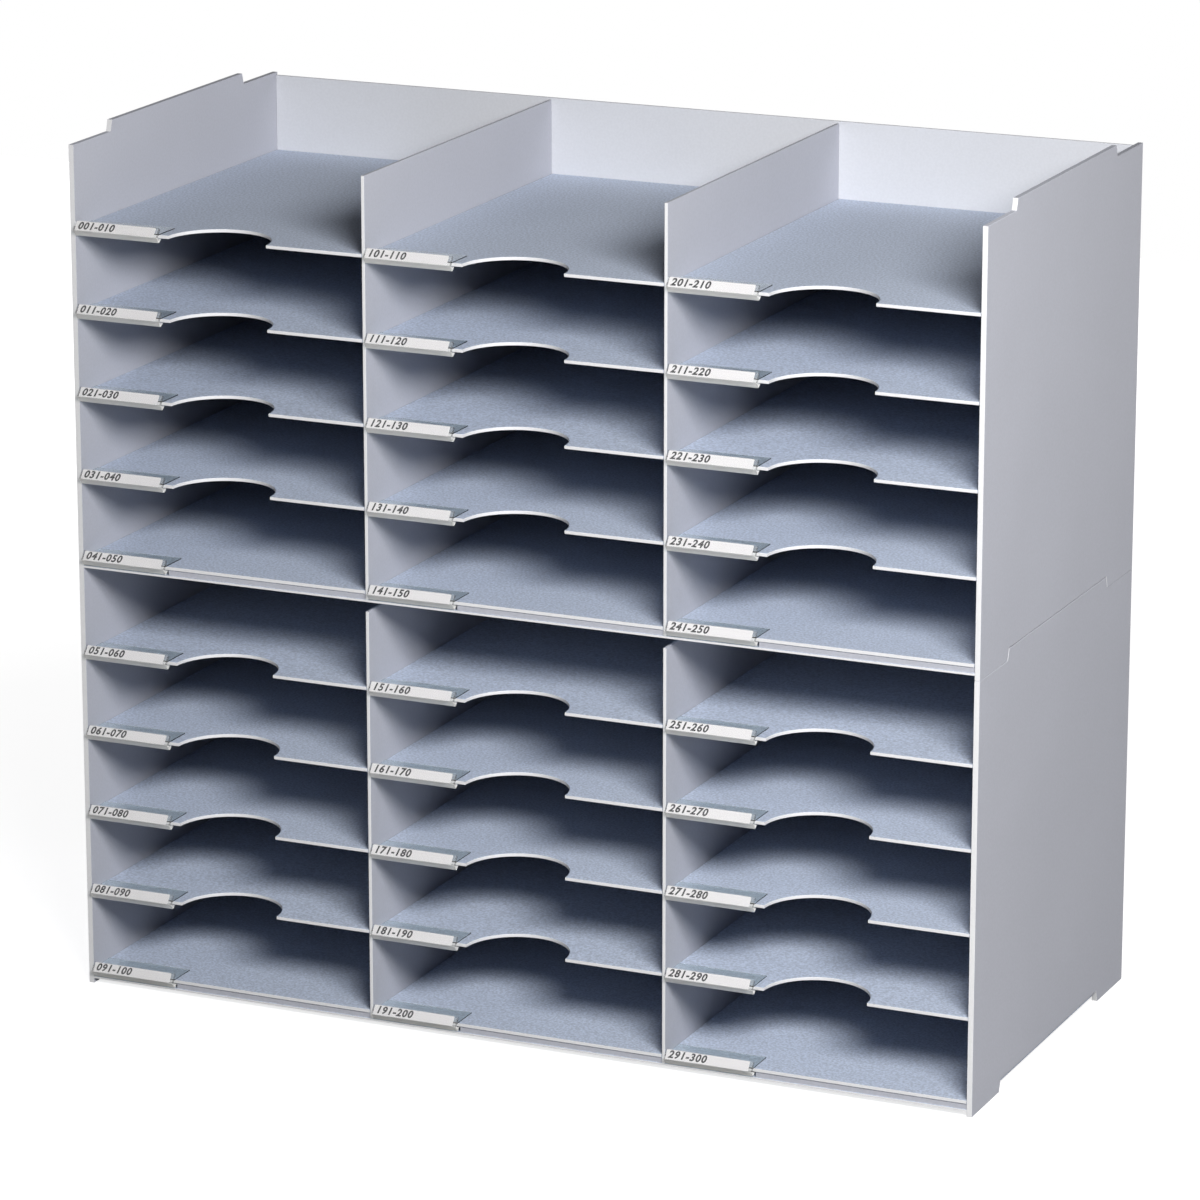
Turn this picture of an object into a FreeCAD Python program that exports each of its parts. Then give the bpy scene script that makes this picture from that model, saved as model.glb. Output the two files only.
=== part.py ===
import FreeCAD, Part
import math
import os

# Stacking paper sorter: two equal modules of three columns, with loose shelves and clipped-on label holders.
# Millimetres. +X is to the right, +Y to the back and +Z up. The origin is on the floor, under the middle of
# the object's box, so the front plane lies at the (negative) value front.

os.makedirs("parts", exist_ok=True)

# Overall sizes of one module: module_pitch runs from its feet to the shoulders that carry the next module
width = 674.0
depth = 308.0
module_pitch = 305.0

# Plate thicknesses
side_thick = 3.8
partition_thick = 2.4
back_thick = 2.4
shelf_thick = 2.4
base_thick = 1.6

# Stacking tab on top of a side wall, and the recess between its feet that takes the tab below
shoulder_length = 53.5
tab_height = 8.0
tab_draft = 2.5
stack_clearance = 0.5

# Columns, rows, and heights above the feet or below the shoulders
columns = ("left", "middle", "right")
loose_rows = 4
row_pitch = 59.0
base_bottom = 3.4
partition_drop = 3.5
back_drop = 2.0

# Shelves and what carries them
notch_radius = 37.5
shelf_side_gap = 0.3
shelf_back_gap = 0.2
ledge_width = 2.0
ledge_height = 1.6
ledge_leg_gap = 2.0
rail_width = 3.0
rail_leg_gap = 6.0

# Front lip of the base plate, beside each label holder and just under the bottom shelf
lip_thick = 1.6
lip_setback = 0.8
lip_shelf_gap = 0.5
lip_holder_gap = 1.0

# Label holder: a clear strip with a flange on the shelf, a leaning card pocket and a spring leg under it
holder_width = 65.0
holder_side_gap = 1.0
holder_thick = 0.8
flange_depth = 22.0
pocket_lean = 36.4
pocket_slot = 0.5
card_low_out = 4.2
card_low_drop = 1.3
leg_out = 1.2
leg_hang = 3.0
leg_bend = 2.2
leg_reach = 6.0
leg_base_gap = 0.5

# Label card
card_width = 61.5
card_height = 7.0
card_thick = 0.3
card_side_gap = 0.8


# Section of the label holder, from the front upper edge of its shelf: y is negative in front, z is up

lean = math.radians(pocket_lean)
up_slope = (math.sin(lean), math.cos(lean))
out_slope = (-math.cos(lean), math.sin(lean))
pocket_wall = (pocket_slot + holder_thick) / 2
half_thick = holder_thick / 2


def pocket_point(along, out):
    """A point of the pocket: along the card from its lower edge, and out from the card's middle."""
    y = -card_low_out + along * up_slope[0] + out * out_slope[0]
    z = -card_low_drop + along * up_slope[1] + out * out_slope[1]
    return (y, z)


def ribbon(line, thick):
    """The closed outline of a bent strip, with mitred corners, around the middle line that is given."""
    normals = []
    for (y0, z0), (y1, z1) in zip(line, line[1:]):
        length = math.hypot(y1 - y0, z1 - z0)
        normals.append(((z0 - z1) / length, (y1 - y0) / length))
    one_side, other_side = [], []
    for place, (y, z) in enumerate(line):
        before = normals[max(place - 1, 0)]
        after = normals[min(place, len(normals) - 1)]
        share = thick / 2 / (1 + before[0] * after[0] + before[1] * after[1])
        across = ((before[0] + after[0]) * share, (before[1] + after[1]) * share)
        one_side.append((y + across[0], z + across[1]))
        other_side.append((y - across[0], z - across[1]))
    return one_side + other_side[::-1]


flange_meets = (half_thick + card_low_drop + pocket_wall * out_slope[1]) / up_slope[1]
leg_level = -shelf_thick - half_thick
flange_line = [
    (flange_depth, half_thick),
    pocket_point(flange_meets, -pocket_wall),
]
pocket_line = [
    pocket_point(card_height, pocket_wall),
    pocket_point(-half_thick, pocket_wall),
    pocket_point(-half_thick, -pocket_wall),
    pocket_point(card_height, -pocket_wall),
]
leg_line = [
    pocket_point(-half_thick, 0.0),
    (-leg_out, -shelf_thick - leg_hang),
    (leg_bend, leg_level),
    (leg_reach, leg_level),
]
card_line = [pocket_point(0.0, 0.0), pocket_point(card_height, 0.0)]
holder_outlines = [ribbon(line, holder_thick) for line in (flange_line, pocket_line, leg_line)]
holder_nose = -min(y for outline in holder_outlines for y, z in outline)
holder_drop = -min(z for outline in holder_outlines for y, z in outline)


# Places that follow from the sizes above

front = (holder_nose - depth) / 2
inside_left = side_thick - width / 2
inside_width = width - 2 * side_thick
inside_depth = depth - back_thick
column_width = (inside_width - (len(columns) - 1) * partition_thick) / len(columns)
shelf_width = column_width - 2 * shelf_side_gap
shelf_depth = inside_depth - shelf_back_gap
base_top = base_bottom + base_thick
floor_top = base_top + leg_base_gap + holder_drop
floor_row = loose_rows + 1
ledge_start = leg_reach + ledge_leg_gap
rail_start = leg_reach + rail_leg_gap
modules = {"lower": 0.0, "upper": module_pitch}


def column_left(column):
    """The left face of a column's space."""
    return inside_left + columns.index(column) * (column_width + partition_thick)


def row_top(row):
    """A shelf's upper face above its module's feet. Row 1 is the top one, and the floor's comes last."""
    return floor_top + (floor_row - row) * row_pitch


# Shapes

def block(x, y, z, size_x, size_y, size_z):
    """A box from its lower left front corner."""
    return Part.makeBox(size_x, size_y, size_z, FreeCAD.Vector(x, y, z))


def drawn_along_x(outline, x, z, length):
    """A section set at x, at the front plane and at height z, and drawn out to the right."""
    corners = [FreeCAD.Vector(x, front + dy, z + dz) for dy, dz in outline]
    face = Part.Face(Part.makePolygon(corners + corners[:1]))
    return face.extrude(FreeCAD.Vector(length, 0, 0))


def joined(shapes):
    """One solid from shapes that are moulded together."""
    return shapes[0].multiFuse(shapes[1:]).removeSplitter()


def ledges(x, foot):
    """One face's ledges, one under each loose shelf."""
    length = inside_depth - ledge_start
    made = []
    for row in range(1, floor_row):
        z = foot + row_top(row) - shelf_thick - ledge_height
        made.append(block(x, front + ledge_start, z, ledge_width, length, ledge_height))
    return made


def side_wall(x, ledge_x, foot):
    """A side wall with its stacking tab, the recess between its feet, and its ledges."""
    tab_end = depth - shoulder_length
    recess_height = tab_height + stack_clearance
    recess_draft = tab_draft * recess_height / tab_height
    recess_start = shoulder_length - stack_clearance
    recess_end = tab_end + stack_clearance
    outline = [
        (0.0, 0.0),
        (recess_start, 0.0),
        (recess_start + recess_draft, recess_height),
        (recess_end - recess_draft, recess_height),
        (recess_end, 0.0),
        (depth, 0.0),
        (depth, module_pitch),
        (tab_end, module_pitch),
        (tab_end - tab_draft, module_pitch + tab_height),
        (shoulder_length + tab_draft, module_pitch + tab_height),
        (shoulder_length, module_pitch),
        (0.0, module_pitch),
    ]
    return joined([drawn_along_x(outline, x, foot, side_thick)] + ledges(ledge_x, foot))


def partition(column, foot):
    """The partition on a column's left, with ledges on both faces. It stands on the base plate."""
    right_face = column_left(column)
    left_face = right_face - partition_thick
    height = module_pitch - partition_drop - base_top
    wall = block(left_face, front, foot + base_top, partition_thick, inside_depth, height)
    return joined([wall] + ledges(left_face - ledge_width, foot) + ledges(right_face, foot))


def back_panel(foot):
    """The back panel, between the side walls and behind the partitions. It stands on the base plate."""
    height = module_pitch - back_drop - base_top
    return block(inside_left, front + inside_depth, foot + base_top, inside_width, back_thick, height)


def base_plate(foot):
    """The base plate. In each column it has two rails that carry the bottom shelf, and a lip along the front."""
    plate = block(inside_left, front, foot + base_bottom, inside_width, depth, base_thick)
    length = inside_depth - rail_start
    height = floor_top - shelf_thick - base_top
    lip_left = holder_side_gap + holder_width + lip_holder_gap
    lip_height = height - lip_shelf_gap
    raised = []
    for column in columns:
        left = column_left(column) + shelf_side_gap
        right = left + shelf_width
        for x in (left, right - rail_width):
            raised.append(block(x, front + rail_start, foot + base_top, rail_width, length, height))
        x = column_left(column) + lip_left
        raised.append(block(x, front + lip_setback, foot + base_top, right - x, lip_thick, lip_height))
    return joined([plate] + raised)


def shelf(column, row, foot):
    """A shelf of one column. A loose one has a half-round thumb notch, and the bottom one is straight."""
    x = column_left(column) + shelf_side_gap
    z = foot + row_top(row) - shelf_thick
    plate = block(x, front, z, shelf_width, shelf_depth, shelf_thick)
    if row == floor_row:
        return plate
    middle = FreeCAD.Vector(x + shelf_width / 2, front, z)
    return plate.cut(Part.makeCylinder(notch_radius, shelf_thick, middle))


def label(column, row, foot):
    """The label holder on a shelf and the card in it, as two solids."""
    x = column_left(column) + holder_side_gap
    z = foot + row_top(row)
    holder = joined([drawn_along_x(outline, x, z, holder_width) for outline in holder_outlines])
    card = drawn_along_x(ribbon(card_line, card_thick), x + card_side_gap, z, card_width)
    return [holder, card]


# One file for each node

def write(name, solids):
    """Writes a node and prints what it holds."""
    shape = solids[0] if len(solids) == 1 else Part.makeCompound(solids)
    shape.exportStep(f"parts/{name}.step")
    state = "valid" if shape.isValid() else "NOT VALID"
    print(name, len(shape.Solids), "solids,", round(shape.Volume), "mm3,", state)


for module, foot in modules.items():
    right_inside = width / 2 - side_thick
    write(f"{module}_left_side", [side_wall(-width / 2, inside_left, foot)])
    write(f"{module}_right_side", [side_wall(right_inside, right_inside - ledge_width, foot)])
    write(f"{module}_partitions", [partition(column, foot) for column in columns[1:]])
    write(f"{module}_back_panel", [back_panel(foot)])
    write(f"{module}_floor", [base_plate(foot)] + [shelf(column, floor_row, foot) for column in columns])
    floor_labels = []
    for column in columns:
        floor_labels += label(column, floor_row, foot)
        for row in range(1, floor_row):
            write(f"{module}_{column}_shelf_{row}", [shelf(column, row, foot)])
            write(f"{module}_{column}_label_{row}", label(column, row, foot))
    write(f"{module}_floor_labels", floor_labels)

print("front plane", round(front, 3), "floor top", round(floor_top, 3), "column", round(column_width, 3))
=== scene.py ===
# %% [markdown]
# # A stacking paper sorter
#
# The object is an open-fronted desk sorter of pale grey polystyrene. Two equal modules stand on each other,
# and each has three columns of flat compartments. Every loose shelf has a half-round thumb notch, and a
# clear label holder is clipped to its front edge. The CAD model gives the true shape, size and place of
# every piece. This lesson gives the pieces soft edges, fine grain, clear strips and printed cards, and
# lights them as a plain catalogue picture would.

# %% Load the frame
import math

import bmesh
import bpy
from mathutils import Matrix, Vector


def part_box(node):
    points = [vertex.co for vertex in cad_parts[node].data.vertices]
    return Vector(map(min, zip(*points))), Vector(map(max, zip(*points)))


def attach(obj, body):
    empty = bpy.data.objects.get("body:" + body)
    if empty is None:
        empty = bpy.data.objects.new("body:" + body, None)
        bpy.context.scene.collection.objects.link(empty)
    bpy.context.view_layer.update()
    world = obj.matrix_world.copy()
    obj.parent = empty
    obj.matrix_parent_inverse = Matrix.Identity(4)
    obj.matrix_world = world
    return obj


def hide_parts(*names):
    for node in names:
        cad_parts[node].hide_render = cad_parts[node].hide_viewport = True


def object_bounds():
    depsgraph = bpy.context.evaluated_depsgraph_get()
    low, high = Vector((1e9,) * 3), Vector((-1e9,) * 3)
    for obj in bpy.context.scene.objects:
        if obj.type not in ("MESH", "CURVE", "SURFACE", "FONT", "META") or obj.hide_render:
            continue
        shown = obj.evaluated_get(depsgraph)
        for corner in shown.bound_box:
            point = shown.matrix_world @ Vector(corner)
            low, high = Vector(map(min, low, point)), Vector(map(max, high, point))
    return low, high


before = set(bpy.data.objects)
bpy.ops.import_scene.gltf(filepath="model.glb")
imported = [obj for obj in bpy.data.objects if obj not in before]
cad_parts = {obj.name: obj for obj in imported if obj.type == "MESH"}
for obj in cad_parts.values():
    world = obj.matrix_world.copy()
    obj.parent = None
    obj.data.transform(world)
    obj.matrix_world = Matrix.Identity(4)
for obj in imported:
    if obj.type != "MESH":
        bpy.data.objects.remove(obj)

cad_low, cad_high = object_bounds()
MM = 0.001
MODULES = ("lower", "upper")
COLUMNS = ("left", "middle", "right")
LOOSE_ROWS = (1, 2, 3, 4)
FLOOR_ROW = 5
ROWS = len(LOOSE_ROWS) + 1
print("CAD box in mm:", [round(v / MM, 1) for v in cad_high - cad_low])


# %% [markdown]
# ## Helpers for nodes
#
# Shader trees and Geometry Nodes trees are both made of nodes, sockets and links. One short helper adds a
# node, sets its properties, and feeds each of its sockets with a plain value or with another node's output.
# Two more do sums with it.

# %% Add a node
def add(tree, kind, sockets=None, **settings):
    """Adds a node, sets its properties, and feeds its sockets with values or other nodes' outputs."""
    node = tree.nodes.new(kind)
    for name, value in settings.items():
        setattr(node, name, value)
    for place, value in (sockets or {}).items():
        if isinstance(value, bpy.types.NodeSocket):
            tree.links.new(value, node.inputs[place])
        else:
            node.inputs[place].default_value = value
    return node


def compute(tree, operation, first, second):
    """The output of a Math node for two values."""
    return add(tree, "ShaderNodeMath", {0: first, 1: second}, operation=operation).outputs[0]


def scaled(tree, vector, factor):
    """The output of a node that scales a vector or a colour."""
    return add(tree, "ShaderNodeVectorMath", {0: vector, "Scale": factor}, operation="SCALE").outputs[0]


def empty_material(name):
    """A material without nodes, and its tree."""
    material = bpy.data.materials.new(name)
    material.use_nodes = True
    material.node_tree.nodes.clear()
    return material, material.node_tree


# %% [markdown]
# ## Floor and surroundings
#
# A catalogue picture stands the object on a white sweep. The floor is a wide pale plane. To the camera it
# glows a little, so that it reads as white, but it still takes the object's shadow. Further out it glows
# more, so that its far edge is lost against the surroundings. These are white to the camera, grey in
# reflections, so that the plastic keeps a mild sheen, and give only a weak light of their own, so that the
# compartments stay dark inside.

# %% Floor and world
FLOOR_SIZE = 5.0
FLOOR_DROP = 0.2 * MM
FLOOR_TONE = (0.47, 0.47, 0.47, 1.0)
FLOOR_GLOW = 0.78
FADE_START = 0.9
FADE_END = 1.9
SKY_LEVEL = 0.02
MIRROR_LEVEL = 0.3
WHITE = (1.0, 1.0, 1.0, 1.0)
HALF_A_BOUNCE = 0.5


def direct_rays(tree, kinds):
    """One for a ray of one of the kinds that no matt surface has scattered, nought for others."""
    path = add(tree, "ShaderNodeLightPath")
    found = 0.0
    for kind in kinds:
        found = compute(tree, "MAXIMUM", path.outputs[kind], found)
    direct = compute(tree, "LESS_THAN", path.outputs["Diffuse Depth"], HALF_A_BOUNCE)
    return compute(tree, "MULTIPLY", found, direct)


def seen_rays(tree):
    """One for a ray that the camera sees straight or through a clear piece, nought for others."""
    return direct_rays(tree, ("Is Camera Ray", "Is Transmission Ray"))


def floor_material():
    """A pale diffuse floor that glows for the camera."""
    material, tree = empty_material("pale_floor")
    diffuse = add(tree, "ShaderNodeBsdfDiffuse", {"Color": FLOOR_TONE})
    spot = add(tree, "ShaderNodeTexCoord").outputs["Object"]
    away = add(tree, "ShaderNodeVectorMath", {0: spot}, operation="LENGTH").outputs["Value"]
    level = add(tree, "ShaderNodeMapRange", {"Value": away, "From Min": FADE_START, "From Max": FADE_END,
                                             "To Min": FLOOR_GLOW, "To Max": 1.0}).outputs[0]
    glow = add(tree, "ShaderNodeEmission", {"Strength": compute(tree, "MULTIPLY", seen_rays(tree), level)})
    both = add(tree, "ShaderNodeAddShader", {0: diffuse.outputs[0], 1: glow.outputs[0]})
    add(tree, "ShaderNodeOutputMaterial", {"Surface": both.outputs[0]})
    return material


bpy.ops.mesh.primitive_plane_add(size=FLOOR_SIZE, location=(0.0, 0.0, -FLOOR_DROP))
floor = bpy.context.object
floor.name = "floor"
floor.data.materials.append(floor_material())

world = bpy.data.worlds.new("studio")
world.use_nodes = True
studio = world.node_tree
studio.nodes.clear()
level = add(studio, "ShaderNodeMapRange", {"Value": direct_rays(studio, ("Is Glossy Ray",)),
                                           "To Min": SKY_LEVEL, "To Max": MIRROR_LEVEL})
sky = add(studio, "ShaderNodeBackground", {"Color": WHITE, "Strength": level.outputs[0]})
white = add(studio, "ShaderNodeBackground", {"Color": WHITE, "Strength": 1.0})
either = add(studio, "ShaderNodeMixShader", {0: seen_rays(studio), 1: sky.outputs[0], 2: white.outputs[0]})
add(studio, "ShaderNodeOutputWorld", {"Surface": either.outputs[0]})
bpy.context.scene.world = world
print("floor", FLOOR_SIZE, "m wide, sky level", SKY_LEVEL)


# %% [markdown]
# ## Studio light
#
# The front edges are the brightest faces, the right wall is a middle grey that darkens away from the lamp,
# and each shelf falls slowly into shadow about a third of the way in. A wide, low bank of light does that
# which stands near, to the right of the front and a little above. Its place and size were worked out from
# how the light falls off along the shelves. A weak lamp at the right rear lifts the right wall, and with a
# broad one at the left rear it keeps the back from going black in other views. Both stand where the top
# shelves don't mirror them to the camera, and the left one is low and flat, so that a label holder on a
# shelf that is pulled out doesn't mirror it either.

# %% Lamps
LAMPS = {
    "key": {"azimuth": 39.0, "elevation": 29.0, "distance": 2.27,
            "width": 1.15, "height": 0.56, "level": 1.2},
    "right_rear": {"azimuth": 140.0, "elevation": 8.0, "distance": 3.0,
                   "width": 2.0, "height": 2.0, "level": 0.18},
    "left_rear": {"azimuth": 245.0, "elevation": 6.0, "distance": 4.0,
                  "width": 2.5, "height": 0.9, "level": 1.0},
}
middle = (cad_low + cad_high) / 2


def direction(azimuth, elevation):
    """The unit vector away from the object, for degrees from the front to the right and degrees up."""
    turn, lift = math.radians(azimuth), math.radians(elevation)
    return Vector((math.sin(turn) * math.cos(lift), -math.cos(turn) * math.cos(lift), math.sin(lift)))


def aim(thing, target):
    """Turns a lamp or a camera so that it looks at the target."""
    thing.rotation_euler = (target - thing.location).to_track_quat("-Z", "Y").to_euler()


for name, lamp in LAMPS.items():
    light = bpy.data.lights.new(name, "AREA")
    light.shape = "ELLIPSE"
    light.size = lamp["width"]
    light.size_y = lamp["height"]
    light.energy = lamp["level"] * (math.pi * lamp["distance"]) ** 2
    stand = bpy.data.objects.new(name, light)
    bpy.context.scene.collection.objects.link(stand)
    stand.location = middle + lamp["distance"] * direction(lamp["azimuth"], lamp["elevation"])
    aim(stand, middle)
    print("lamp", name, round(light.energy), "W")


# %% [markdown]
# ## Camera
#
# The picture was taken from the right and from above, with a long lens. The place, the aim and the lens
# were worked out from the corners of the walls and the ends of the shelf edges.

# %% Camera
CAMERA_AZIMUTH = 24.0
CAMERA_ELEVATION = 15.55
CAMERA_DISTANCE = 3.9
CAMERA_AIM = Vector((0.0461, -0.1114, 0.3176))
CAMERA_LENS = 171.45
SENSOR = 36.0

lens = bpy.data.cameras.new("camera")
lens.sensor_width = SENSOR
lens.lens = CAMERA_LENS
camera = bpy.data.objects.new("camera", lens)
bpy.context.scene.collection.objects.link(camera)
camera.location = CAMERA_AIM + CAMERA_DISTANCE * direction(CAMERA_AZIMUTH, CAMERA_ELEVATION)
aim(camera, CAMERA_AIM)
bpy.context.scene.camera = camera
bpy.context.scene.view_settings.view_transform = "Standard"
print("camera at", [round(v, 3) for v in camera.location])


# %% [markdown]
# ## Grained plastic
#
# The panels and shelves are moulded in a pale grey plastic with a fine, slightly mottled grain. The grain
# could be painted as a picture, but a noise texture in the object's own coordinates has no seams and stays
# in place when a shelf slides. A fine noise gives the mottling, the roughness and, with finer pores, a small
# relief. A broad one gives the slow change of tone over a panel. The front edges, which face the lamp, get
# the same recipe in a lighter tone, as a painted highlight.

# %% Noise helpers
FULL_BAND = (0.0, 1.0)
MIDDLE_BAND = (0.3, 0.7)
NARROW_BAND = (0.35, 0.65)


def noise(tree, size, detail):
    """A noise in the object's own coordinates, with grains of about the size that is given."""
    place = add(tree, "ShaderNodeTexCoord").outputs["Object"]
    return add(tree, "ShaderNodeTexNoise", {"Vector": place, "Scale": 1 / size, "Detail": detail}).outputs[0]


def spread(tree, value, band, centre, swing):
    """Maps a band of a noise's values to a centre value, give or take a swing."""
    return add(tree, "ShaderNodeMapRange", {"Value": value, "From Min": band[0], "From Max": band[1],
                                            "To Min": centre - swing, "To Max": centre + swing}).outputs[0]


def relief(tree, height, strength, depth):
    """The normal of a surface with small ups and downs."""
    return add(tree, "ShaderNodeBump", {"Height": height, "Strength": strength, "Distance": depth}).outputs[0]


# %% Plastic finishes
GRAIN_SIZE = 1.7 * MM
CLOUD_SIZE = 130 * MM
PORE_SIZE = 0.45 * MM
PORE_DEPTH = 0.05 * MM
PORE_STRENGTH = 0.35
ROUGH_SWING = 0.06
PLASTIC_IOR = 1.5
SHEEN_LEVEL = 0.18


def grained_plastic(name, colour, mottle, cloud, rough):
    """A mottled plastic: the fine and the broad noise change its tone by the shares mottle and cloud."""
    material, tree = empty_material(name)
    grain = noise(tree, GRAIN_SIZE, detail=2.0)
    broad = noise(tree, CLOUD_SIZE, detail=2.0)
    pores = noise(tree, PORE_SIZE, detail=1.0)
    fine_tone = spread(tree, grain, NARROW_BAND, 1.0, mottle)
    broad_tone = spread(tree, broad, MIDDLE_BAND, 1.0, cloud)
    tone = compute(tree, "MULTIPLY", fine_tone, broad_tone)
    height = compute(tree, "ADD", grain, pores)
    shader = add(tree, "ShaderNodeBsdfPrincipled", {
        "Base Color": scaled(tree, colour, tone),
        "Roughness": spread(tree, grain, MIDDLE_BAND, rough, ROUGH_SWING),
        "Normal": relief(tree, height, PORE_STRENGTH, PORE_DEPTH),
        "IOR": PLASTIC_IOR,
        "Specular IOR Level": SHEEN_LEVEL,
    })
    add(tree, "ShaderNodeOutputMaterial", {"Surface": shader.outputs[0]})
    return material


panel_finish = grained_plastic("grey_panel", (0.447, 0.455, 0.505), mottle=0.03, cloud=0.02, rough=0.62)
back_finish = grained_plastic("pale_back", (0.62, 0.63, 0.665), mottle=0.02, cloud=0.02, rough=0.62)
shelf_finish = grained_plastic("blue_grey_shelf", (0.515, 0.572, 0.685), mottle=0.17, cloud=0.03, rough=0.8)
# Painted highlight: the same plastic in a lighter tone, for the front faces that catch the lamp.
front_highlight_finish = grained_plastic("painted_highlight_front_edge", (0.74, 0.74, 0.75), mottle=0.015, cloud=0.01, rough=0.45)
print("plastic finishes:", [made.name for made in (panel_finish, back_finish, shelf_finish, front_highlight_finish)])


# %% [markdown]
# ## Panels with soft edges
#
# Side walls, partitions, back panels, base plates and bottom shelves are flat, so the CAD shape is already
# right. What it lacks is the small round of a moulded edge, which catches a line of light. Each panel is
# copied from its CAD node, its triangles are joined back into flat faces, and a Bevel modifier rounds its
# edges. The edges in the front plane face the lamp and look nearly white, so they get a lighter finish of
# their own, a painted highlight. Faces that point to the front from further back get another: on the walls
# the stacking tabs' ends get the same painted highlight, and the lip under each bottom shelf is a plain grey.

# %% Soft edges
EDGE_ROUND = 0.35 * MM
EDGE_STEPS = 2
CORNER = math.radians(20.0)
LARGE_FACE = 200 * MM ** 2


def new_piece(name, mesh):
    """An object for a mesh, at the origin."""
    piece = bpy.data.objects.new(name, mesh)
    bpy.context.scene.collection.objects.link(piece)
    return piece


def round_edges(piece, radius):
    """A Bevel modifier on the corners of a piece."""
    bevel = piece.modifiers.new("round", "BEVEL")
    bevel.width = radius
    bevel.segments = EDGE_STEPS
    bevel.limit_method = "ANGLE"
    bevel.angle_limit = CORNER


def evaluated_mesh(piece):
    """The mesh that a piece shows with its modifiers."""
    seen = piece.evaluated_get(bpy.context.evaluated_depsgraph_get())
    return bpy.data.meshes.new_from_object(seen)


def bake(piece):
    """Turns a piece's modifiers into a plain mesh, smooth but for its corners and its large flat faces."""
    mesh = evaluated_mesh(piece)
    piece.modifiers.clear()
    piece.data = mesh
    mesh.shade_smooth()
    mesh.set_sharp_from_angle(angle=CORNER)
    for polygon in mesh.polygons:
        polygon.use_smooth = polygon.area < LARGE_FACE
    return piece


# %% Panels
WELD = 0.001 * MM
FLAT = math.radians(1.0)
FRONT_FACING = -0.5
FRONT_DEPTH = 0.5 * MM
WALL_LOOK = {"face": panel_finish, "front_edge": front_highlight_finish, "behind": front_highlight_finish, "slot": "grey_plastic"}
PANELS = {
    "left_side": WALL_LOOK,
    "right_side": WALL_LOOK,
    "partitions": {**WALL_LOOK, "behind": panel_finish},
    "back_panel": {**WALL_LOOK, "face": back_finish, "front_edge": back_finish, "behind": back_finish},
    "floor": {"face": shelf_finish, "front_edge": front_highlight_finish, "behind": panel_finish,
              "slot": "shelf_plastic"},
}
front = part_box("lower_left_side")[0].y


def paint_panel(mesh, face, front_edge, behind):
    """Gives a panel's faces their finish, by where they point and how far behind the front plane they lie."""
    finishes = list(dict.fromkeys((face, front_edge, behind)))
    mesh.materials.clear()
    for finish in finishes:
        mesh.materials.append(finish)
    for polygon in mesh.polygons:
        finish = face
        # Faces turned to the front take the painted highlight in the front plane, or the finish given for
        # those behind it.
        if polygon.normal.y < FRONT_FACING:
            finish = front_edge if polygon.center.y < front + FRONT_DEPTH else behind
        polygon.material_index = finishes.index(finish)


def panel(node, face, front_edge, behind, slot):
    """A copy of a CAD panel with soft edges, painted."""
    shape = bmesh.new()
    shape.from_mesh(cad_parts[node].data)
    bmesh.ops.remove_doubles(shape, verts=shape.verts, dist=WELD)
    bmesh.ops.dissolve_limit(shape, angle_limit=FLAT, verts=shape.verts, edges=shape.edges)
    mesh = bpy.data.meshes.new(node)
    shape.to_mesh(mesh)
    shape.free()
    piece = new_piece(f"{node}_panel", mesh)
    round_edges(piece, EDGE_ROUND)
    bake(piece)
    paint_panel(piece.data, face, front_edge, behind)
    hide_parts(node)
    return piece


for module in MODULES:
    for name, look in PANELS.items():
        piece = panel(f"{module}_{name}", **look)
        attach(piece, f"{module}_module")
        print(piece.name, len(piece.data.polygons), "faces")


# %% [markdown]
# ## Loose shelves
#
# There are eight loose shelves in each column, all alike: a thin plate with a half-round thumb notch. A
# shape that follows such a rule suits Geometry Nodes. The tree takes a plate's size and the notch's radius,
# cuts a round cutter out of the plate, and gives the front edge and the notch, which face the lamp, a lighter
# finish as a painted highlight. It runs once. Each shelf slides by itself, so each then gets a copy of the
# finished mesh, moved to its place.

# %% Geometry Nodes helpers
def start_tree(name, inputs):
    """A Geometry Nodes tree with a geometry input and output, and the named inputs that are given."""
    tree = bpy.data.node_groups.new(name, "GeometryNodeTree")
    tree.interface.new_socket("Geometry", in_out="INPUT", socket_type="NodeSocketGeometry")
    tree.interface.new_socket("Geometry", in_out="OUTPUT", socket_type="NodeSocketGeometry")
    for label, kind in inputs.items():
        tree.interface.new_socket(label, in_out="INPUT", socket_type=f"NodeSocket{kind}")
    return tree, add(tree, "NodeGroupInput").outputs


def run_tree(piece, tree, values):
    """Puts a tree on a piece, with each input set by its socket's identifier."""
    modifier = piece.modifiers.new(tree.name, "NODES")
    modifier.node_group = tree
    for item in tree.interface.items_tree:
        if item.in_out == "INPUT" and item.name in values:
            modifier[item.identifier] = values[item.name]


def moved(tree, geometry, way):
    """A shape that is shifted by a vector."""
    return add(tree, "GeometryNodeTransform", {"Geometry": geometry, "Translation": way}).outputs[0]


def compared(tree, value, operation, limit):
    """Whether a number is less or greater than a limit."""
    return add(tree, "FunctionNodeCompare", {0: value, 1: limit}, data_type="FLOAT",
               operation=operation).outputs[0]


def realized(tree, geometry):
    """A shape without instances."""
    return add(tree, "GeometryNodeRealizeInstances", {0: geometry}).outputs[0]


def painted(tree, geometry, finish, where=True):
    """A shape with a finish on the faces that are chosen, or on all of them."""
    return add(tree, "GeometryNodeSetMaterial", {"Geometry": geometry, "Selection": where,
                                                 "Material": finish}).outputs[0]


# %% The notched shelf's tree
NOTCH_RADIUS = 37.5 * MM
NOTCH_SIDES = 128
CUTTER_DEPTH = 3.0
RIM_FACING = -0.01


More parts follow.
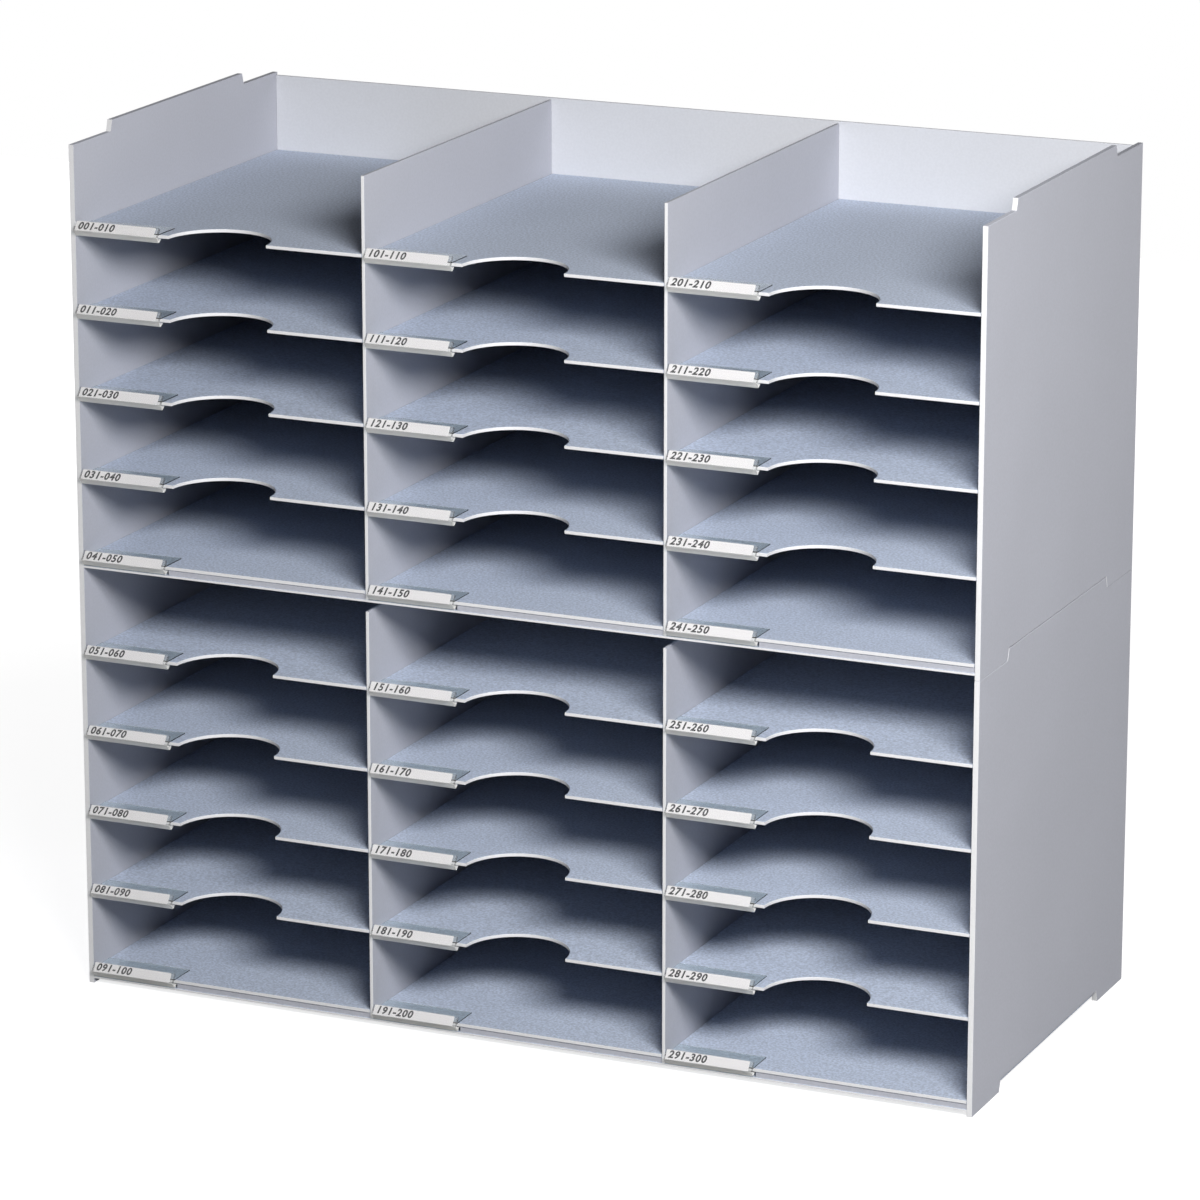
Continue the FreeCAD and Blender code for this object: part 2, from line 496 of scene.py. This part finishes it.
def notched_shelf_tree():
    """A plate with its lower left front corner at the origin, and a round notch in its front edge."""
    tree, given = start_tree("notched shelf", {"Size": "Vector", "Notch Radius": "Float",
                                               "Notch Sides": "Int", "Face": "Material",
                                               "Front Edge": "Material"})
    half = scaled(tree, given["Size"], 0.5)
    cube = add(tree, "GeometryNodeMeshCube", {"Size": given["Size"]})
    plate = moved(tree, cube.outputs["Mesh"], half)
    thick = add(tree, "ShaderNodeSeparateXYZ", {0: given["Size"]}).outputs["Z"]
    through = compute(tree, "MULTIPLY", thick, CUTTER_DEPTH)
    cutter = add(tree, "GeometryNodeMeshCylinder", {"Vertices": given["Notch Sides"], "Depth": through,
                                                    "Radius": given["Notch Radius"]})
    centre = add(tree, "ShaderNodeSeparateXYZ", {0: half})
    spot = add(tree, "ShaderNodeCombineXYZ", {"X": centre.outputs["X"], "Z": centre.outputs["Z"]})
    placed = moved(tree, cutter.outputs["Mesh"], spot.outputs[0])
    cut = add(tree, "GeometryNodeMeshBoolean", {"Mesh 1": plate, "Mesh 2": placed},
              operation="DIFFERENCE", solver="EXACT")
    normal = add(tree, "ShaderNodeSeparateXYZ", {0: add(tree, "GeometryNodeInputNormal").outputs[0]})
    is_front = compared(tree, normal.outputs["Y"], "LESS_THAN", RIM_FACING)
    faced = painted(tree, realized(tree, cut.outputs["Mesh"]), given["Face"])
    # Faces that point to the front get the lighter finish, a painted highlight.
    front_highlighted = painted(tree, faced, given["Front Edge"], where=is_front)
    add(tree, "NodeGroupOutput", {"Geometry": front_highlighted})
    return tree


def drop_empty_slots(mesh):
    """Takes out the empty first slot that a mesh made from nothing brings along."""
    filled = [index for index, finish in enumerate(mesh.materials) if finish]
    finishes = [mesh.materials[index] for index in filled]
    places = [filled.index(polygon.material_index) for polygon in mesh.polygons]
    mesh.materials.clear()
    for finish in finishes:
        mesh.materials.append(finish)
    mesh.polygons.foreach_set("material_index", places)


def finished_mesh(piece):
    """The baked mesh of a piece that serves as a pattern only. Its object is taken away."""
    mesh = bake(piece).data
    drop_empty_slots(mesh)
    bpy.data.objects.remove(piece)
    return mesh


shelf_low, shelf_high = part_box("lower_left_shelf_1")
shelf_pattern = new_piece("shelf_pattern", bpy.data.meshes.new("shelf_pattern"))
run_tree(shelf_pattern, notched_shelf_tree(), {
    "Size": shelf_high - shelf_low,
    "Notch Radius": NOTCH_RADIUS,
    "Notch Sides": NOTCH_SIDES,
    "Face": shelf_finish,
    "Front Edge": front_highlight_finish,
})
round_edges(shelf_pattern, EDGE_ROUND)
shelf_mesh = finished_mesh(shelf_pattern)
print("shelf pattern with", len(shelf_mesh.polygons), "faces")

# %% One shelf for each body
def placed_copy(mesh, name, place):
    """A copy of a finished mesh as a piece of its own, moved to its place."""
    own = mesh.copy()
    own.transform(Matrix.Translation(place))
    return new_piece(name, own)


for module in MODULES:
    for column in COLUMNS:
        for row in LOOSE_ROWS:
            node = f"{module}_{column}_shelf_{row}"
            shelf = placed_copy(shelf_mesh, f"{node}_plate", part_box(node)[0])
            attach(shelf, node)
            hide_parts(node)
    print(module, "module:", len(COLUMNS) * len(LOOSE_ROWS), "loose shelves")


# %% [markdown]
# ## Label holders
#
# A holder is a clear strip of one even section: a flange that lies on the shelf, a leaning pocket for the
# card, and a spring leg that grips the shelf from below. The section is three bent lines. Geometry Nodes
# round the bends, draw a flat band along each line, and weld the three bands into one solid. Clear plastic
# needs refraction and gloss, but light has to reach the card behind it, and be counted once, so for shadow
# rays and for light that a surface has scattered the strip is a plain tinted window. The flange gets a
# stronger tint, painted shade for the light it loses where it is seen on the slant. The foot of the pocket
# and the leg get a hazier finish, a painted highlight for the light that is caught in their bends.

# %% Clear finishes
RIPPLE_SIZE = 6 * MM
RIPPLE_DEPTH = 0.1 * MM
RIPPLE_STRENGTH = 0.15
RIPPLE_ROUGH = 0.4
STRIP_IOR = 1.4


def clear_plastic(name, colour, clearness, rough, tint):
    """Clear plastic with a faint ripple. Light passes straight, tinted, so that what lies behind is lit."""
    material, tree = empty_material(name)
    wave = noise(tree, RIPPLE_SIZE, detail=1.0)
    solid = add(tree, "ShaderNodeBsdfPrincipled", {
        "Base Color": colour,
        "Roughness": spread(tree, wave, FULL_BAND, rough, rough * RIPPLE_ROUGH),
        "Normal": relief(tree, wave, RIPPLE_STRENGTH, RIPPLE_DEPTH),
        "IOR": STRIP_IOR,
        "Transmission Weight": clearness,
    })
    opening = add(tree, "ShaderNodeBsdfTransparent", {"Color": tint}).outputs[0]
    path = add(tree, "ShaderNodeLightPath")
    surface = solid.outputs[0]
    for kind in ("Is Shadow Ray", "Is Diffuse Ray"):
        surface = add(tree, "ShaderNodeMixShader", {0: path.outputs[kind], 1: surface, 2: opening}).outputs[0]
    add(tree, "ShaderNodeOutputMaterial", {"Surface": surface})
    return material


clear_finish = clear_plastic("clear_strip", (0.98, 0.98, 0.98, 1.0), clearness=0.98, rough=0.03,
                             tint=(0.98, 0.98, 0.98, 1.0))
# Painted shade: the same clear plastic with a stronger tint, so that the shelf under the flange looks darker.
flange_shade_finish = clear_plastic("painted_shade_strip_flange", (0.93, 0.96, 0.95, 1.0), clearness=1.0, rough=0.08,
                              tint=(0.96, 0.98, 0.97, 1.0))
# Painted highlight: the same plastic made hazier and paler, for the light that is caught in the bends.
bend_highlight_finish = clear_plastic("painted_highlight_strip_foot", (0.93, 0.92, 0.89, 1.0), clearness=0.45, rough=0.2,
                            tint=(0.80, 0.82, 0.82, 1.0))
print("strip finishes:", [made.name for made in (clear_finish, flange_shade_finish, bend_highlight_finish)])

# %% The holder's section
STRIP = 0.8 * MM
STRIP_GAP = 0.05 * MM
STRIP_WIDTH = 65.0 * MM
FLANGE_DEPTH = 22.0 * MM
LEAN = math.radians(36.4)
SLOT = 0.5 * MM
CARD_OUT = 4.2 * MM
CARD_DROP = 1.3 * MM
CARD_HEIGHT = 7.0 * MM
LEG_OUT = 1.2 * MM
LEG_HANG = 3.0 * MM
LEG_BEND = 2.2 * MM
LEG_REACH = 6.0 * MM

shelf_thick = shelf_high.z - shelf_low.z
wall = (SLOT + STRIP) / 2


def pocket_point(along, out):
    """A point of the pocket's section: along the card from its foot, and out from its middle."""
    y = -CARD_OUT + along * math.sin(LEAN) - out * math.cos(LEAN)
    z = -CARD_DROP + along * math.cos(LEAN) + out * math.sin(LEAN)
    return (0.0, y, z)


meets = (STRIP / 2 + CARD_DROP + wall * math.sin(LEAN)) / math.cos(LEAN)
leg_level = -shelf_thick - STRIP / 2
FLANGE_LINE = [(0.0, FLANGE_DEPTH, STRIP / 2), pocket_point(meets, -wall)]
POCKET_LINE = [pocket_point(CARD_HEIGHT, wall), pocket_point(-STRIP / 2, wall),
               pocket_point(-STRIP / 2, -wall), pocket_point(CARD_HEIGHT, -wall)]
LEG_LINE = [pocket_point(-STRIP / 2, 0.0), (0.0, -LEG_OUT, -shelf_thick - LEG_HANG),
            (0.0, LEG_BEND, leg_level), (0.0, LEG_REACH, leg_level)]


def section_mesh(name):
    """The three lines of the section as a mesh of edges."""
    points, edges = [], []
    for line in (FLANGE_LINE, POCKET_LINE, LEG_LINE):
        first = len(points)
        points += line
        edges += [(first + k, first + k + 1) for k in range(len(line) - 1)]
    mesh = bpy.data.meshes.new(name)
    mesh.from_pydata(points, edges, [])
    return mesh


print("the flange meets the pocket", round(meets / MM, 2), "mm up the card")

# %% The holder's tree
BEND_RADIUS = 0.6 * MM
BEND_STEPS = 4


def bent_strip_tree():
    """Bands along the section's lines, rounded at the bends and welded, with the left end at the origin."""
    tree, given = start_tree("bent clear strip", {"Band Width": "Float", "Band Thickness": "Float",
                                                  "Bend Radius": "Float", "Bend Highlight Below": "Float",
                                                  "Flange Behind": "Float", "Clear": "Material",
                                                  "Flange": "Material", "Bend Highlight": "Material"})
    lines = add(tree, "GeometryNodeMeshToCurve", {0: given["Geometry"]})
    bent = add(tree, "GeometryNodeFilletCurve", {"Curve": lines.outputs[0], "Radius": given["Bend Radius"],
                                                 "Count": BEND_STEPS, "Limit Radius": True}, mode="POLY")
    band = add(tree, "GeometryNodeCurvePrimitiveQuadrilateral", {"Width": given["Band Width"],
                                                                 "Height": given["Band Thickness"]})
    swept = add(tree, "GeometryNodeCurveToMesh", {"Curve": bent.outputs[0],
                                                  "Profile Curve": band.outputs[0], "Fill Caps": True})
    welded = add(tree, "GeometryNodeMeshBoolean", {"Mesh 2": swept.outputs[0], "Self Intersection": True},
                 operation="UNION", solver="EXACT")
    half = compute(tree, "MULTIPLY", given["Band Width"], 0.5)
    right = add(tree, "ShaderNodeCombineXYZ", {"X": half})
    placed = moved(tree, welded.outputs["Mesh"], right.outputs[0])
    at = add(tree, "ShaderNodeSeparateXYZ", {0: add(tree, "GeometryNodeInputPosition").outputs[0]})
    behind = compared(tree, at.outputs["Y"], "GREATER_THAN", given["Flange Behind"])
    below = compared(tree, at.outputs["Z"], "LESS_THAN", given["Bend Highlight Below"])
    clear = painted(tree, realized(tree, placed), given["Clear"])
    # The flange takes the more strongly tinted finish, painted shade.
    flanged = painted(tree, clear, given["Flange"], where=behind)
    # The foot and the leg take the hazier finish, a painted highlight for light caught in the bends.
    done = painted(tree, flanged, given["Bend Highlight"], where=below)
    add(tree, "NodeGroupOutput", {"Geometry": done})
    return tree


strip_pattern = new_piece("strip_pattern", section_mesh("strip_pattern"))
run_tree(strip_pattern, bent_strip_tree(), {
    "Band Width": STRIP_WIDTH,
    "Band Thickness": STRIP - 2 * STRIP_GAP,
    "Bend Radius": BEND_RADIUS,
    "Bend Highlight Below": -CARD_DROP,
    "Flange Behind": STRIP,
    "Clear": clear_finish,
    "Flange": flange_shade_finish,
    "Bend Highlight": bend_highlight_finish,
})
strip_mesh = finished_mesh(strip_pattern)
print("holder pattern with", len(strip_mesh.polygons), "faces")


# %% [markdown]
# ## Cards
#
# A white card with plain index numbers stands in each pocket. A Geometry Nodes tree makes the card, a thin
# plate with rounded corners. The digits could be painted on, but a text object turned into a mesh stays
# sharp and needs no picture: its offset makes it bold, its shear slants it, and its extrusion gives the ink
# a little thickness. Each compartment takes ten numbers, from 001-010 on, down each column in turn.

# %% Printed finishes
FIBRE_SIZE = 0.35 * MM
FIBRE_DEPTH = 0.02 * MM
FIBRE_STRENGTH = 0.2


def matt_print(name, colour, change, rough):
    """Card or ink: a matt colour with a faint fibre that changes its tone by the share that is given."""
    material, tree = empty_material(name)
    fibre = noise(tree, FIBRE_SIZE, detail=3.0)
    tone = spread(tree, fibre, FULL_BAND, 1.0, change)
    shader = add(tree, "ShaderNodeBsdfPrincipled", {
        "Base Color": scaled(tree, colour, tone),
        "Roughness": rough,
        "Normal": relief(tree, fibre, FIBRE_STRENGTH, FIBRE_DEPTH),
    })
    add(tree, "ShaderNodeOutputMaterial", {"Surface": shader.outputs[0]})
    return material


card_finish = matt_print("white_card", (0.75, 0.735, 0.74), change=0.03, rough=0.8)
ink_finish = matt_print("black_ink", (0.010, 0.010, 0.012), change=0.3, rough=0.7)
print("print finishes:", card_finish.name, ink_finish.name)

# %% The card's tree
CARD_WIDTH = 61.5 * MM
CARD_THICK = 0.3 * MM
CARD_CORNER = 0.5 * MM
CORNER_STEPS = 4


def card_plate_tree():
    """A thin plate with rounded corners, its back on the plane z = 0 and its middle at the origin."""
    tree, given = start_tree("card plate", {"Width": "Float", "Height": "Float", "Thickness": "Float",
                                            "Corner Radius": "Float", "Card": "Material"})
    outline = add(tree, "GeometryNodeCurvePrimitiveQuadrilateral", {"Width": given["Width"],
                                                                    "Height": given["Height"]})
    cornered = add(tree, "GeometryNodeFilletCurve", {"Curve": outline.outputs[0], "Count": CORNER_STEPS,
                                                     "Radius": given["Corner Radius"]}, mode="POLY")
    sheet = add(tree, "GeometryNodeFillCurve", {"Curve": cornered.outputs[0]}, mode="NGONS").outputs[0]
    raised = add(tree, "GeometryNodeExtrudeMesh", {"Mesh": sheet, "Offset Scale": given["Thickness"],
                                                   "Individual": False})
    under = add(tree, "GeometryNodeFlipFaces", {0: sheet})
    both = add(tree, "GeometryNodeJoinGeometry")
    for half in (raised, under):
        tree.links.new(half.outputs[0], both.inputs[0])
    plate = add(tree, "GeometryNodeMergeByDistance", {"Geometry": both.outputs[0], "Distance": WELD})
    done = painted(tree, realized(tree, plate.outputs[0]), given["Card"])
    add(tree, "NodeGroupOutput", {"Geometry": done})
    return tree


card_pattern = new_piece("card_pattern", bpy.data.meshes.new("card_pattern"))
run_tree(card_pattern, card_plate_tree(), {
    "Width": CARD_WIDTH,
    "Height": CARD_HEIGHT,
    "Thickness": CARD_THICK,
    "Corner Radius": CARD_CORNER,
    "Card": card_finish,
})
card_mesh = finished_mesh(card_pattern)
card_mesh.materials.append(ink_finish)
print("card pattern with", len(card_mesh.polygons), "faces")

# %% Numbers
DIGIT_SIZE = 7.4 * MM
DIGIT_SLANT = 0.2
DIGIT_BOLD = 0.28 * MM
DIGIT_SPACING = 1.15
DIGIT_INSET = 1.8 * MM
DIGIT_STEPS = 3
NUMBERS_EACH = 10
INK_THICK = 0.03 * MM
INK_INDEX = 1


def place_of(module, column, row):
    """A compartment's place in the count: down each column in turn, from the top of the upper module."""
    above = 0 if module == "upper" else ROWS
    return COLUMNS.index(column) * len(MODULES) * ROWS + above + row


def number_text(place):
    """The first and last number of a compartment."""
    return f"{(place - 1) * NUMBERS_EACH + 1:03d}-{place * NUMBERS_EACH:03d}"


def number_mesh(place):
    """A compartment's numbers in bold slanted digits, at the left end of its card's face."""
    text = bpy.data.curves.new("number", "FONT")
    text.body = number_text(place)
    text.size = DIGIT_SIZE
    text.space_character = DIGIT_SPACING
    text.shear = DIGIT_SLANT
    text.offset = DIGIT_BOLD
    text.extrude = INK_THICK / 2
    text.resolution_u = DIGIT_STEPS
    text.align_y = "CENTER"
    drawn = new_piece("number", text)
    mesh = evaluated_mesh(drawn)
    bpy.data.objects.remove(drawn)
    mesh.transform(Matrix.Translation((DIGIT_INSET - CARD_WIDTH / 2, 0.0, CARD_THICK + INK_THICK / 2)))
    for polygon in mesh.polygons:
        polygon.material_index = INK_INDEX
    return mesh


print("numbers from", number_text(1), "to", number_text(len(MODULES) * len(COLUMNS) * ROWS))

# %% Holders and cards for every label
CARD_INSET = 0.8 * MM
_, card_back, card_level = pocket_point(CARD_HEIGHT / 2, -CARD_THICK / 2)
CARD_PLACE = Matrix.Translation((CARD_INSET + CARD_WIDTH / 2, card_back, card_level))
CARD_TURN = Matrix.Rotation(math.pi / 2 - LEAN, 4, "X")


def joined(meshes, name):
    """One mesh from several, with the materials of the first."""
    shape = bmesh.new()
    for mesh in meshes:
        shape.from_mesh(mesh)
    bmesh.ops.remove_doubles(shape, verts=shape.verts, dist=WELD)
    whole = bpy.data.meshes.new(name)
    shape.to_mesh(whole)
    shape.free()
    for material in meshes[0].materials:
        whole.materials.append(material)
    whole.set_sharp_from_angle(angle=CORNER)
    return whole


def dress_label(name, body, node, spots):
    """Holders and numbered cards for one node, at the front left corners of its shelves' upper faces."""
    strips, cards = [], []
    for corner, place in spots:
        strip = strip_mesh.copy()
        strip.transform(Matrix.Translation(corner))
        strips.append(strip)
        card = joined([card_mesh, number_mesh(place)], "card")
        card.transform(Matrix.Translation(corner) @ CARD_PLACE @ CARD_TURN)
        cards.append(card)
    for kind, meshes in (("holder", strips), ("card", cards)):
        piece = new_piece(f"{name}_{kind}", joined(meshes, f"{name}_{kind}"))
        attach(piece, body)
        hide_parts(node)


for module in MODULES:
    floor_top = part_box(f"{module}_floor")[1].z
    floor_spots = []
    for column in COLUMNS:
        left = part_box(f"{module}_{column}_label_1")[0].x
        for row in LOOSE_ROWS:
            shelf_node = f"{module}_{column}_shelf_{row}"
            corner = Vector((left, front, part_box(shelf_node)[1].z))
            label_node = f"{module}_{column}_label_{row}"
            dress_label(label_node, shelf_node, label_node, [(corner, place_of(module, column, row))])
        floor_corner = Vector((left, front, floor_top))
        floor_spots.append((floor_corner, place_of(module, column, FLOOR_ROW)))
    dress_label(f"{module}_floor_label", f"{module}_module", f"{module}_floor_labels", floor_spots)
    print(module, "module: labels on", len(COLUMNS) * ROWS, "shelves")
